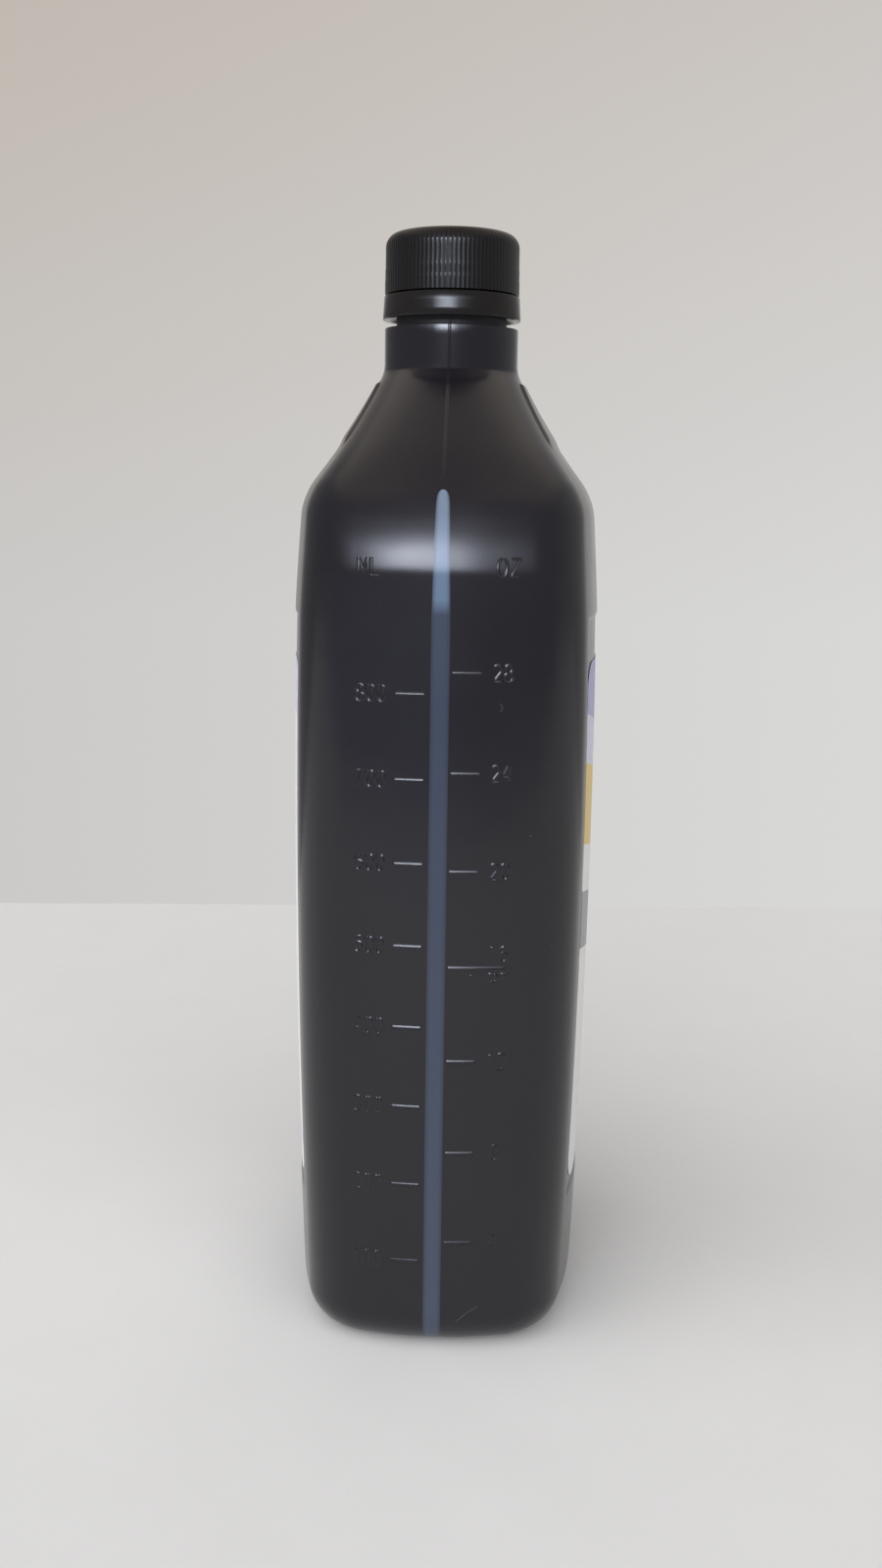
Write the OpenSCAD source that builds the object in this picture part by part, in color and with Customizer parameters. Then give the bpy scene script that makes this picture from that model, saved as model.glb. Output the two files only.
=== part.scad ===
// Oblong one-quart bottle, blown in dark polyethylene with a clear level strip in one narrow side,
// a ribbed screw cap with its liner, a tamper band left on the neck, and a label on each wide face.
// Millimetres, Z up, standing on Z = 0. The graduated narrow side faces -Y, the labels face +X and -X.

/* [Body] */
// Thickness across the wide faces at the shoulder
top_w = 68.4; // [66:0.1:71]
// Thickness across the wide faces just above the base rounding
base_w = 65.3; // [62:0.1:67]
// Length across the narrow sides at the shoulder
top_d = 90.4; // [87:0.1:95]
// Length across the narrow sides just above the base rounding
base_d = 88.6; // [85:0.1:92]
// How far the filled wide faces belly out at mid height
wide_belly = 1.5; // [0.5:0.1:2.5]
// How far the narrow sides belly out at mid height
side_belly = 0.75; // [0.2:0.05:1.5]
// Radius of the four upright corners
corner_r = 16; // [15.5:0.1:18]
// Lean of a wide face where it meets the corner, in degrees
wide_lean = 14; // [12:0.5:16]
// Lean of a narrow side where it meets the corner, in degrees
side_lean = 14; // [12:0.5:16]
// Blown wall thickness
wall = 0.9; // [0.7:0.05:1.1]
// Length of the blend between the body and the shoulder, along each
shoulder_blend = 4.5; // [3:0.5:7]
// Height from the crease where the narrow sides start to lean back, up to the shoulder
crease_drop = 15.4; // [13:0.2:18]
// Lean of the narrow sides above that crease, in degrees
crease_lean = 5; // [2:0.5:8]
// Lean of the wide faces above their panels, in degrees
head_lean = 2.6; // [0:0.2:4]
// How far the shoulder slope sags inward at its middle, as a share of its run
slope_sag = 0.065; // [0:0.005:0.1]

/* [Base] */
// Radius of the rounding between base and walls
base_r = 9.5; // [8:0.5:14]
// Height of the push-up in the middle of the base
push_up = 3.2; // [2:0.2:5]
// Width of the flat standing ring at the narrow sides
ring_w = 4.9; // [3:0.1:6]
// Width of the slope from the standing ring up to the push-up's flat middle, at the narrow sides
push_slope = 8.8; // [6:0.2:12]

/* [Labels and their panels] */
// Plain face left between the panel's border and the bend into the corner
panel_margin = 1.55; // [0.8:0.05:4]
// Height of the label
label_h = 120.5; // [105:0.5:135]
// Height of the label's lower edge
label_z = 33.5; // [30:0.5:36]
// Corner radius of the label
label_r = 6; // [4:0.5:8]
// Thickness of the label film
label_t = 0.12; // [0.1:0.01:0.2]
// Adhesive between film and panel
label_gap = 0.06; // [0.05:0.01:0.1]
// Room left round the label inside the recessed panel
panel_room = 1; // [0.6:0.1:1.4]
// Width of the sloping border round the panel
panel_edge = 1.6; // [1.2:0.1:1.8]
// Depth of the panel
panel_depth = 0.45; // [0.3:0.05:0.6]
// Bare panel above the label
label_head = 8.9; // [6:0.1:12]
// How far below the crease the panel ends
panel_drop = 9.5; // [7:0.5:12]

/* [Shoulder pads] */
// Height that the plain raised pad on each wide slope takes up
pad_len = 15; // [10:0.2:16]
// How far below the neck's blend the pad ends
pad_drop = 0.4; // [0.2:0.1:2]
// How far the pad stands out of the slope
pad_h = 0.55; // [0.3:0.05:0.8]
// Height of the slope at the pad's upper and lower ends
pad_step = 0.6; // [0.4:0.1:1]

/* [Level strip and scale] */
// Width of the clear strip
strip_w = 3.9; // [3:0.1:4.4]
// Width of the strip at its upper tip
strip_tip_w = 0.6; // [0.5:0.1:1.2]
// Height of one tick line at its foot
tick_t = 0.7; // [0.4:0.1:0.8]
// Height of one tick line at its crest
tick_crest = 0.36; // [0.2:0.02:0.4]
// How far the ticks stand out of the wall
tick_h = 0.2; // [0.15:0.05:0.4]
// Gap between the strip and the ticks
tick_gap = 0.6; // [0.4:0.1:1]
// Length of a tick
tick_len = 6.6; // [5:0.2:8]
// Length of the half-way tick
half_tick_len = 12.6; // [10:0.2:13]
// Height of the 100 millilitre tick
ml_z = 22; // [20:0.5:24]
// Height of each 100 millilitres
ml_step = 18.16; // [17.5:0.02:18.4]
// Height of the 4 ounce tick
oz_z = 26.6; // [24:0.2:27]
// Height of each 4 ounces
oz_step = 21.18; // [20.6:0.02:21.5]

/* [Neck] */
// Diameter of the neck below the ledge
neck_d = 30.2; // [29.6:0.1:31]
// Height of the shoulder slope
shoulder_h = 27.6; // [26:0.2:30]
// Height of the straight neck under the ledge
neck_len = 9.4; // [8:0.2:11]
// Length of the blend between slope and neck, along each
neck_blend = 2.4; // [2:0.2:4]
// Rounding of the ledge's edge
ledge_edge = 0.5; // [0.3:0.1:0.8]
// Wall thickness of the neck
neck_wall = 1.8; // [1.4:0.1:2.2]
// Diameter of the threaded finish, without its thread
finish_d = 24.9; // [24.5:0.1:25.3]
// Bore of the finish
bore_d = 21.7; // [20.8:0.1:22]
// Height of the finish above the ledge
finish_h = 18.05; // [17.5:0.05:18.6]
// Edge break at the lip
lip_edge = 0.4; // [0.2:0.1:0.6]
// Diameter of the bead that keeps the band on the neck
bead_d = 27.5; // [27:0.1:27.7]
// Height of the bead above the ledge
bead_up = 4.2; // [4:0.1:4.6]
// Height of the bead along the neck
bead_h = 2.2; // [1.8:0.1:2.4]

/* [Closure] */
// Height of the cap from its skirt's lower edge to its top
cap_h = 13.4; // [12.6:0.1:14.4]
// Diameter of the cap over its ribs at the skirt's lower end
cap_d = 30.3; // [29.8:0.1:31]
// Draft of the skirt from bottom to top, on the radius
cap_draft = 0.12; // [0.05:0.01:0.2]
// Rounding of the cap's top edge
cap_round = 3.2; // [2:0.1:4]
// Number of grip ribs
cap_ribs = 92; // [72:2:100]
// Depth of the grip ribs
rib_depth = 0.12; // [0.06:0.02:0.3]
// Inside diameter of the skirt, at the root of its thread
skirt_bore = 28; // [27.8:0.1:28.2]
// Thickness of the sealing liner
liner_t = 1.1; // [0.8:0.1:1.4]
// How far the bead inside the cap reaches under the liner
keeper = 0.35; // [0.2:0.05:0.5]
// Height of that bead
keeper_h = 0.9; // [0.6:0.1:1.2]
// Height of the tamper band
band_h = 5.2; // [4.6:0.1:5.4]
// Diameter of the band at its lower edge
band_d = 31.2; // [30.8:0.1:31.6]
// How much narrower the band is at its upper edge, on the radius
band_draft = 0.3; // [0.1:0.05:0.4]
// Edge break of the band
band_edge = 0.25; // [0.1:0.05:0.4]
// Height of the catch inside the band
catch_h = 0.8; // [0.5:0.1:1.2]
// Clearance between flat faces that touch
seat_gap = 0.05; // [0.02:0.01:0.1]
// Clearance at the score line between cap and band
score_gap = 0.3; // [0.3:0.05:0.5]
// Running clearance between round parts of the closure
run_gap = 0.4; // [0.3:0.05:0.45]
// Clearance between the band and the ledge
band_gap = 1.9; // [1.6:0.1:2.2]

/* [Hidden] */
$fn = 96;

ca = cos(wide_lean);
sa = sin(wide_lean);
cb = cos(side_lean);
sb = sin(side_lean);
neck_r = neck_d / 2;
finish_r = finish_d / 2;
bore_r = bore_d / 2;
panel_z0 = label_z - panel_room - panel_edge;
panel_z1 = label_z + label_h + label_head + panel_edge;
crease_z = panel_z1 + panel_drop;
shoulder_z = crease_z + crease_drop;
neck_z = shoulder_z + shoulder_h;
ledge_z = neck_z + neck_len;
lip_z = ledge_z + finish_h;
liner_z = lip_z + seat_gap;
band_z = ledge_z + band_gap;
band_top = band_z + band_h;
cap_z = band_top + score_gap;
roof_r = (finish_r + bore_r) / 2;
overcut = 0.05;

function lerp(p, q, t) = p + (q - p) * t;
function clamp01(t) = max(0, min(1, t));
function bezier(p, q, r, t) = (1 - t) * (1 - t) * p + 2 * t * (1 - t) * q + t * t * r;

// Half sizes of the plain body at height z
function body_t(z) = clamp01((z - base_r) / (shoulder_z - base_r));
function lean_in(z, z0, angle) = tan(angle) * max(0, min(z, shoulder_z) - z0);
function half_x(z) = let(t = body_t(z))
    lerp(base_w, top_w, t) / 2 + wide_belly * 4 * t * (1 - t) - lean_in(z, panel_z1, head_lean);
function half_y(z) = let(t = body_t(z))
    lerp(base_d, top_d, t) / 2 + side_belly * 4 * t * (1 - t) - lean_in(z, crease_z, crease_lean);

// Radii of the two face arcs that close an oval of half sizes a and b with corner radius r
function oval_det() = (ca - 1) * (1 - cb) + sb * sa;
function oval_e(a, r) = r * ca - a - r * sb;
function oval_f(b, r) = b + r * sa - r * cb;
function wide_r(a, b, r) = (oval_e(a, r) * (1 - cb) + sb * oval_f(b, r)) / oval_det();
function side_r(a, b, r) = ((ca - 1) * oval_f(b, r) - sa * oval_e(a, r)) / oval_det();

// Point of that oval whose outward normal points at angle n, pushed out by d
function oval(n, a, b, r, d) =
    let(w = wide_r(a, b, r), s = side_r(a, b, r))
    let(q = acos(min(1, abs(cos(n)))))
    let(px = q <= wide_lean ? a - w + w * cos(q)
           : q >= 90 - side_lean ? s * cos(q)
           : a - w + (w - r) * ca + r * cos(q))
    let(py = q <= wide_lean ? w * sin(q)
           : q >= 90 - side_lean ? b - s + s * sin(q)
           : (w - r) * sa + r * sin(q))
    [sign(cos(n)) * px + d * cos(n), sign(sin(n)) * py + d * sin(n)];

// Rows of the blown form from the push-up to the neck: height, inset of the base rounding,
// blend from body to neck, scale about the axis, and elevation of the surface
slope_p = [0, shoulder_z];
slope_q = [1, neck_z];
slope_len = norm([half_x(shoulder_z) - neck_r, shoulder_h]);
sh_in = shoulder_blend / slope_len;
nk_in = neck_blend / slope_len;
sh_a = [0, shoulder_z - shoulder_blend];
sh_b = lerp(slope_p, slope_q, sh_in);
nk_a = lerp(slope_p, slope_q, 1 - nk_in);
nk_b = [1, neck_z + neck_blend];
pad_z1 = nk_a[1] - pad_drop;
pad_z0 = pad_z1 - pad_len;
lean_e = 38;
ring_d = base_d / 2 - base_r;
ring_share = (ring_d - ring_w) / ring_d;
push_share = (ring_d - ring_w - push_slope) / ring_d;

base_rows = concat(
    [[push_up, base_r, 0, push_share, -90]],
    [[0, base_r, 0, ring_share, -90]],
    [for (i = [0:5]) let(t = 18 * i) [base_r * (1 - cos(t)), base_r * (1 - sin(t)), 0, 1, t - 90]]);
wall_rows = [for (z = concat(
    [panel_z0, panel_z0 + panel_edge],
    [for (i = [1:6]) lerp(panel_z0, panel_z1, i / 7)],
    [panel_z1 - panel_edge, panel_z1, crease_z])) [z, 0, 0, 1, 0]];
shoulder_rows = [for (i = [0:5]) let(p = bezier(sh_a, slope_p, sh_b, i / 5))
    [p[1], 0, p[0], 1, lean_e * i / 5]];
pad_rows = [for (z = concat([pad_z0],
    [for (i = [0:3]) lerp(pad_z0 + pad_step, pad_z1 - pad_step, i / 3)],
    [pad_z1])) [z, 0, (z - shoulder_z) / shoulder_h, 1, lean_e]];
neck_rows = [for (i = [0:4]) let(p = bezier(nk_a, slope_q, nk_b, i / 4))
    [p[1], 0, p[0], 1, lean_e * (1 - i / 4)]];
ledge_rows = [
    [ledge_z - ledge_edge, 0, 1, 1, 0],
    [ledge_z, ledge_edge, 1, 1, 60],
    [ledge_z, 0, 1, roof_r / neck_r, 90]];
ROWS = concat(base_rows, wall_rows, shoulder_rows, pad_rows, neck_rows, ledge_rows);
strip_row0 = 2;
strip_row1 = len(base_rows) + len(wall_rows) + 4;
strip_tip_z = ROWS[strip_row1][0];

// Half width of the strip along its height, drawn in to a rounded tip
function strip_half(z) =
    let(t = clamp01((z - panel_z1) / (strip_tip_z - panel_z1)))
    sqrt(lerp(pow(strip_w, 2), pow(strip_tip_w, 2), pow(t, 4))) / 2;

// Columns of one quarter, as the normal's angle away from the narrow side
wide_u = [0.62, 0.31];
corner_n = 6;
quarter_n = 6 + corner_n + len(wide_u);
face_half = sa * min([for (i = [0:8]) let(z = lerp(panel_z0, panel_z1, i / 8))
    wide_r(half_x(z), half_y(z), corner_r)]);
panel_half = face_half - panel_margin - panel_edge;
label_half = panel_half - panel_room;
function panel_in(w) = min(asin(min(1, panel_half / w)), 0.94 * wide_lean);
function panel_out(w) = min(asin(min(1, (panel_half + panel_edge) / w)), 0.985 * wide_lean);
function quarter(j, s, w, z) =
    j == 0 ? 0
    : j == 1 ? asin(strip_half(z) / s)
    : j == 2 ? side_lean * 0.55
    : j <= 3 + corner_n ? lerp(side_lean, 90 - wide_lean, (j - 3) / corner_n)
    : j == 4 + corner_n ? 90 - panel_out(w)
    : j == 5 + corner_n ? 90 - panel_in(w)
    : j < quarter_n ? 90 - wide_lean * wide_u[j - 6 - corner_n]
    : 90;
COLS = 4 * quarter_n;
function normal_at(c, s, w, z) =
    let(q = floor(c / quarter_n), j = c % quarter_n)
    -90 + 90 * q + (q % 2 == 0 ? quarter(j, s, w, z) : 90 - quarter(quarter_n - j, s, w, z));

// Recessed label panel and raised shoulder pad, as a push along the wide face's normal
function off_wide(n) = acos(min(1, abs(cos(n))));
function inside(n, w) = clamp01((panel_out(w) - off_wide(n)) / (panel_out(w) - panel_in(w)));
function panel_rise(z) = clamp01(min(z - panel_z0, panel_z1 - z) / panel_edge);
function pad_rise(z) = clamp01(min(z - pad_z0, pad_z1 - z) / pad_step);
function wide_push(n, w, z) = inside(n, w) * (pad_h * pad_rise(z) - panel_depth * panel_rise(z));

// The slope sags a little between shoulder and neck
function sagged(s) = s + slope_sag * 4 * s * (1 - s);

// One point of the blown form: column c of a row, sunk by depth along the surface
function form_point(c, row, depth) =
    let(z = row[0], s = sagged(row[2]), d = row[1])
    let(a = lerp(half_x(z), neck_r, s) - d)
    let(b = lerp(half_y(z), neck_r, s) - d)
    let(r = lerp(corner_r, neck_r, s) - d)
    let(w = wide_r(a, b, r), n = normal_at(c, side_r(a, b, r), w, z))
    let(thick = depth * lerp(wall, neck_wall, s))
    let(p = oval(n, a, b, r, wide_push(n, w, z) - thick * cos(row[4])) * row[3])
    [p[0], p[1], z - thick * sin(row[4])];

// Two grids of the same rows and columns, outside first, then inside
function form_points() = [for (k = [0, 1]) for (row = ROWS) for (c = [0:COLS - 1]) form_point(c, row, k)];
function at(k, i, c) = (k * len(ROWS) + i) * COLS + (c + COLS) % COLS;
function cell(k, i, c) = k == 0
    ? [at(0, i, c), at(0, i + 1, c), at(0, i + 1, c + 1), at(0, i, c + 1)]
    : [at(1, i, c), at(1, i, c + 1), at(1, i + 1, c + 1), at(1, i + 1, c)];
function in_strip(i, c) = i >= strip_row0 && i < strip_row1 && (c == 0 || c == COLS - 1);
// Upright and level faces through the wall's thickness, along a grid line
function across_up(i, c) = [at(0, i, c), at(1, i, c), at(1, i + 1, c), at(0, i + 1, c)];
function across_level(i, c) = [at(0, i, c), at(0, i, c + 1), at(1, i, c + 1), at(1, i, c)];
function flip(f) = [for (i = [len(f) - 1:-1:0]) f[i]];
strip_cols = [COLS - 1, 0];

module tick(x0, x1, z) {
    steps = 5;
    a = half_x(z);
    b = half_y(z);
    s = side_r(a, b, corner_r);
    pts = [for (i = [0:steps]) let(x = lerp(x0, x1, i / steps), y = b - s + sqrt(s * s - x * x))
        for (q = [[wall / 2, -tick_t], [-tick_h, -tick_crest], [-tick_h, tick_crest], [wall / 2, tick_t]])
            [x, -y + q[0], z + q[1] / 2]];
    sides = [for (i = [0:steps - 1]) for (k = [0:3]) let(m = (k + 1) % 4)
        [4 * i + k, 4 * i + 4 + k, 4 * i + 4 + m, 4 * i + m]];
    polyhedron(pts, concat(sides, [[0, 1, 2, 3]], [flip([for (k = [0:3]) 4 * steps + k])]));
}

module blown_wall() {
    rows = len(ROWS);
    skin = [for (k = [0, 1]) for (i = [0:rows - 2]) for (c = [0:COLS - 1])
        if (!in_strip(i, c)) cell(k, i, c)];
    floors = [[for (c = [0:COLS - 1]) at(0, 0, c)], [for (c = [COLS - 1:-1:0]) at(1, 0, c)]];
    mouth = [for (c = [0:COLS - 1]) flip(across_level(rows - 1, c))];
    slot = concat(
        [for (i = [strip_row0:strip_row1 - 1]) across_up(i, 1)],
        [for (i = [strip_row0:strip_row1 - 1]) flip(across_up(i, COLS - 1))],
        [for (c = strip_cols) across_level(strip_row1, c)],
        [for (c = strip_cols) flip(across_level(strip_row0, c))]);
    polyhedron(form_points(), concat(skin, floors, mouth, slot));
}

module finish() {
    z0 = ledge_z - neck_wall / 2;
    bead_z = ledge_z + bead_up;
    bead_r = bead_d / 2;
    rotate_extrude()
        polygon([[bore_r, z0], [finish_r, z0], [finish_r, bead_z - lip_edge], [bead_r, bead_z],
            [bead_r, bead_z + bead_h / 2], [finish_r, bead_z + bead_h], [finish_r, lip_z - lip_edge],
            [finish_r - lip_edge, lip_z], [bore_r + lip_edge, lip_z], [bore_r, lip_z - lip_edge]]);
}

module bottle() {
    x0 = strip_w / 2 + tick_gap;
    color([0.15, 0.15, 0.16])
        union() {
            blown_wall();
            finish();
            for (i = [0:7])
                tick(-x0 - tick_len, -x0, ml_z + ml_step * i);
            for (i = [0:6])
                tick(x0, x0 + (i == 3 ? half_tick_len : tick_len), oz_z + oz_step * i);
        }
}

module sight_strip() {
    skin = [for (k = [0, 1]) for (i = [strip_row0:strip_row1 - 1]) for (c = strip_cols) cell(k, i, c)];
    edges = concat(
        [for (i = [strip_row0:strip_row1 - 1]) flip(across_up(i, 1))],
        [for (i = [strip_row0:strip_row1 - 1]) across_up(i, COLS - 1)],
        [for (c = strip_cols) flip(across_level(strip_row1, c))],
        [for (c = strip_cols) across_level(strip_row0, c)]);
    color([0.45, 0.52, 0.62])
        polyhedron(form_points(), concat(skin, edges));
}

// Film laid on the wide face that the sign picks, with rounded corners
module label(side) {
    across = 10;
    corner = [for (t = [0:22.5:90]) [label_r * (1 - cos(t)), label_r * (1 - sin(t))]];
    level = concat(
        [for (q = corner) [label_z + q[0], q[1]]],
        [for (i = [1:9]) [label_z + lerp(label_r, label_h - label_r, i / 10), 0]],
        [for (i = [len(corner) - 1:-1:0]) [label_z + label_h - corner[i][0], corner[i][1]]]);
    rows = len(level);
    pts = [for (d = [label_gap, label_gap + label_t]) for (q = level) for (c = [0:across])
        let(a = half_x(q[0]), b = half_y(q[0]), w = wide_r(a, b, corner_r))
        let(reach = asin((label_half - q[1]) / w))
        let(p = oval(reach * (2 * c / across - 1), a, b, corner_r, d - panel_depth))
        [side * p[0], side * p[1], q[0]]];
    function id(k, i, c) = (k * rows + i) * (across + 1) + c;
    function rim_level(i, c) = [id(0, i, c), id(1, i, c), id(1, i, c + 1), id(0, i, c + 1)];
    function rim_up(i, c) = [id(0, i, c), id(1, i, c), id(1, i + 1, c), id(0, i + 1, c)];
    quads = [for (k = [0, 1]) for (i = [0:rows - 2]) for (c = [0:across - 1])
        let(f = [id(k, i, c), id(k, i, c + 1), id(k, i + 1, c + 1), id(k, i + 1, c)])
        k == 0 ? f : flip(f)];
    rim = concat(
        [for (c = [0:across - 1]) rim_level(0, c)],
        [for (c = [0:across - 1]) flip(rim_level(rows - 1, c))],
        [for (i = [0:rows - 2]) flip(rim_up(i, 0))],
        [for (i = [0:rows - 2]) rim_up(i, across)]);
    polyhedron(pts, concat(quads, rim));
}

module right_label() {
    color([0.86, 0.86, 0.88])
        label(1);
}

module left_label() {
    color([0.86, 0.86, 0.88])
        label(-1);
}

module tamper_band() {
    r = band_d / 2;
    inner = bead_d / 2 + run_gap;
    catch_r = finish_r + run_gap;
    catch_z = ledge_z + bead_up - lip_edge - run_gap;
    color([0.13, 0.13, 0.14])
        rotate_extrude()
            polygon([[inner, band_z], [r - band_edge, band_z], [r, band_z + band_edge],
                [r - band_draft, band_top - band_edge], [r - band_draft - band_edge, band_top],
                [inner, band_top],
                [inner, catch_z + band_edge], [catch_r, catch_z], [catch_r, catch_z - catch_h + band_edge]]);
}

module cap_liner() {
    color([0.85, 0.85, 0.82])
        translate([0, 0, liner_z])
            cylinder(h = liner_t, d = skirt_bore - 2 * run_gap);
}

module cap() {
    r = cap_d / 2;
    step = 360 / cap_ribs;
    under = liner_z + liner_t + seat_gap - cap_z;
    keeper_z = liner_z - seat_gap - cap_z;
    hollow_r = skirt_bore / 2;
    keeper_r = hollow_r - run_gap - keeper;
    ribs = [for (i = [0:cap_ribs - 1]) for (q = [[0.06, 0], [0.30, 1], [0.62, 1], [0.86, 0]])
        let(t = (i + q[0]) * step, w = r + overcut - q[1] * (overcut + cap_draft + rib_depth))
        w * [cos(t), sin(t)]];
    arc = [for (t = [0:15:90])
        [r - cap_draft - cap_round * (1 - cos(t)), cap_h - cap_round * (1 - sin(t))]];
    color([0.12, 0.12, 0.13])
        translate([0, 0, cap_z])
            difference() {
                intersection() {
                    linear_extrude(height = cap_h)
                        polygon(ribs);
                    rotate_extrude()
                        polygon(concat([[0, 0], [r, 0]], arc, [[0, cap_h]]));
                }
                rotate_extrude()
                    polygon([[0, -overcut], [hollow_r, -overcut], [hollow_r, keeper_z - keeper_h],
                        [keeper_r, keeper_z - keeper_h / 2], [keeper_r, keeper_z], [hollow_r, keeper_z],
                        [hollow_r, under], [0, under]]);
            }
}

bottle();
sight_strip();
right_label();
left_label();
tamper_band();
cap_liner();
cap();
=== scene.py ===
import math

import bpy
import numpy as np
from mathutils import Matrix


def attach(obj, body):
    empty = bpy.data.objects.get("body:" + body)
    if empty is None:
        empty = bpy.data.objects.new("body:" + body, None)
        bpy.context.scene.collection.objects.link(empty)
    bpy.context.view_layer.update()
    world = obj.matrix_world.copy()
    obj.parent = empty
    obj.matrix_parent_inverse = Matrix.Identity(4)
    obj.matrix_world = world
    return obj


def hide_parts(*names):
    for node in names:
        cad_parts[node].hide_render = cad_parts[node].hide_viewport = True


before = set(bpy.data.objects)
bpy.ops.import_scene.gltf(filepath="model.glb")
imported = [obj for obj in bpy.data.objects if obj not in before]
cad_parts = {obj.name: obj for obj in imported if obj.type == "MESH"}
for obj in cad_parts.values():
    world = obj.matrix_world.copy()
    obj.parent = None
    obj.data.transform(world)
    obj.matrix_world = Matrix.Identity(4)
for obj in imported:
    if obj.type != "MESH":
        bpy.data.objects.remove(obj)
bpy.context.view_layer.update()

# Blown body
# One hollow shell of charcoal polyethylene, blown in a two-part mould: an oval with four soft corners
# that closes into a round neck, with a sunk label panel and a raised shoulder pad on each wide face.
MM = 0.001
BASE_W, TOP_W = 65.3, 68.4
BASE_D, TOP_D = 88.6, 90.4
WIDE_BELLY, SIDE_BELLY = 1.5, 0.75
CORNER_R, LEAN = 16.0, math.radians(14)
WALL, NECK_WALL = 0.9, 1.8
BASE_R, PUSH_UP, RING_W, PUSH_SLOPE = 9.5, 3.2, 4.9, 8.8
PANEL_LOW, PANEL_HIGH, PANEL_EDGE, PANEL_DEPTH = 30.9, 164.5, 1.6, 0.45
PANEL_HALF = 27.7
HEAD_LEAN, HEAD_SOFT = math.tan(math.radians(2.6)), 4.0
CREASE_Z, CREASE_LEAN, CREASE_ROUND = 174.0, math.tan(math.radians(6)), 72.0
CREASE_SOFT, CREASE_NEAR = 1.1, 1.5
SHOULDER_Z, SHOULDER_BLEND, SHOULDER_TILT, SLOPE_SAG = 189.4, 4.5, math.radians(38), 0.065
SIDE_SLOPE, SIDE_ROUND, SIDE_RUN, SIDE_SOFT = math.tan(math.radians(52)), 0.0074, 30.0, 3.5
PAD_LOW, PAD_HIGH, PAD_STEP, PAD_RUNOUT, PAD_RISE = 199.6, 214.6, 0.6, 3.0, 0.55
NECK_R, NECK_Z, NECK_BLEND = 15.1, 217.0, 1.8
LEDGE_Z, LEDGE_EDGE = 226.4, 0.12
STRIP_W, STRIP_NARROWS, STRIP_TIP_W, STRIP_TIP_Z = 3.9, 0.3, 0.5, 190.9


def ramp(low, high, value):
    """Smooth step: 0 below low, 1 above high, with level ends."""
    t = np.clip((value - low) / (high - low), 0, 1)
    return t * t * (3 - 2 * t)


crease_up = np.linspace(CREASE_Z - CREASE_SOFT, NECK_Z, 240)
crease_slope = (CREASE_LEAN + (crease_up - CREASE_Z) / CREASE_ROUND) \
    * ramp(CREASE_Z - CREASE_SOFT, CREASE_Z + CREASE_SOFT, crease_up)
crease_back = np.cumsum(crease_slope) * (crease_up[1] - crease_up[0])


def body_half(z):
    """Half width and half length at height z: a straight taper plus a parabola for the belly, less a
    rounded ramp where the wide faces lean in above their panels, and less the sum of the slopes by
    which the narrow sides lean back over the crease, more and more, until the shoulder takes over."""
    t = np.clip((z - BASE_R) / (SHOULDER_Z - BASE_R), 0, 1)
    belly = 4 * t * (1 - t)
    over_panel = np.minimum(z, SHOULDER_Z) - PANEL_HIGH
    head = (over_panel + np.sqrt(over_panel ** 2 + HEAD_SOFT ** 2)) / 2
    return (BASE_W + (TOP_W - BASE_W) * t) / 2 + WIDE_BELLY * belly - HEAD_LEAN * head, \
        (BASE_D + (TOP_D - BASE_D) * t) / 2 + SIDE_BELLY * belly - np.interp(z, crease_up, crease_back)


def face_radii(a, b, r):
    """Radii of the wide and the narrow face arcs that run tangent into a corner arc of radius r
    and pass through the half sizes a and b: two linear equations, solved."""
    c, s = math.cos(LEAN), math.sin(LEAN)
    e, f = r * c - a - r * s, b + r * s - r * c
    det = s * s - (1 - c) ** 2
    return (e * (1 - c) + s * f) / det, ((c - 1) * f - s * e) / det


def oval_point(n, a, b, r):
    """Point of the four-arc oval whose outward normal points at angle n: on the wide arc near the
    X axis, on the narrow arc near the Y axis, and on the corner arc between them."""
    c, s = math.cos(LEAN), math.sin(LEAN)
    wide, narrow = face_radii(a, b, r)
    q = np.arccos(np.minimum(1, np.abs(np.cos(n))))
    on_wide, on_narrow = q <= LEAN, q >= math.pi / 2 - LEAN
    x = np.where(on_wide, a - wide + wide * np.cos(q),
                 np.where(on_narrow, narrow * np.cos(q), a - wide + (wide - r) * c + r * np.cos(q)))
    y = np.where(on_wide, wide * np.sin(q),
                 np.where(on_narrow, b - narrow + narrow * np.sin(q), (wide - r) * s + r * np.sin(q)))
    return np.sign(np.cos(n)) * x, np.sign(np.sin(n)) * y


def strip_half(z):
    """Half width of the level strip: even up to the panel's top, then a straight taper that closes
    in a rounded tip, as the root of a high power."""
    t = np.clip((z - PANEL_HIGH) / (STRIP_TIP_Z - PANEL_HIGH), 0, 1)
    taper = STRIP_W * (1 - STRIP_NARROWS * t)
    return np.sqrt(taper ** 2 + (STRIP_TIP_W ** 2 - taper ** 2) * t ** 26) / 2


def panel_reach(wide, edge):
    """Angle off the wide face's normal at which the panel, with a border of the given width, ends."""
    most = (0.94 + 0.045 * edge / PANEL_EDGE) * LEAN
    return np.minimum(np.arcsin(np.minimum(1, (PANEL_HALF + edge) / wide)), most)


SPREAD = (3, 8, 20, 2, 4, 9)
QUARTER = sum(SPREAD)
COLUMNS = 4 * QUARTER


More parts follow.
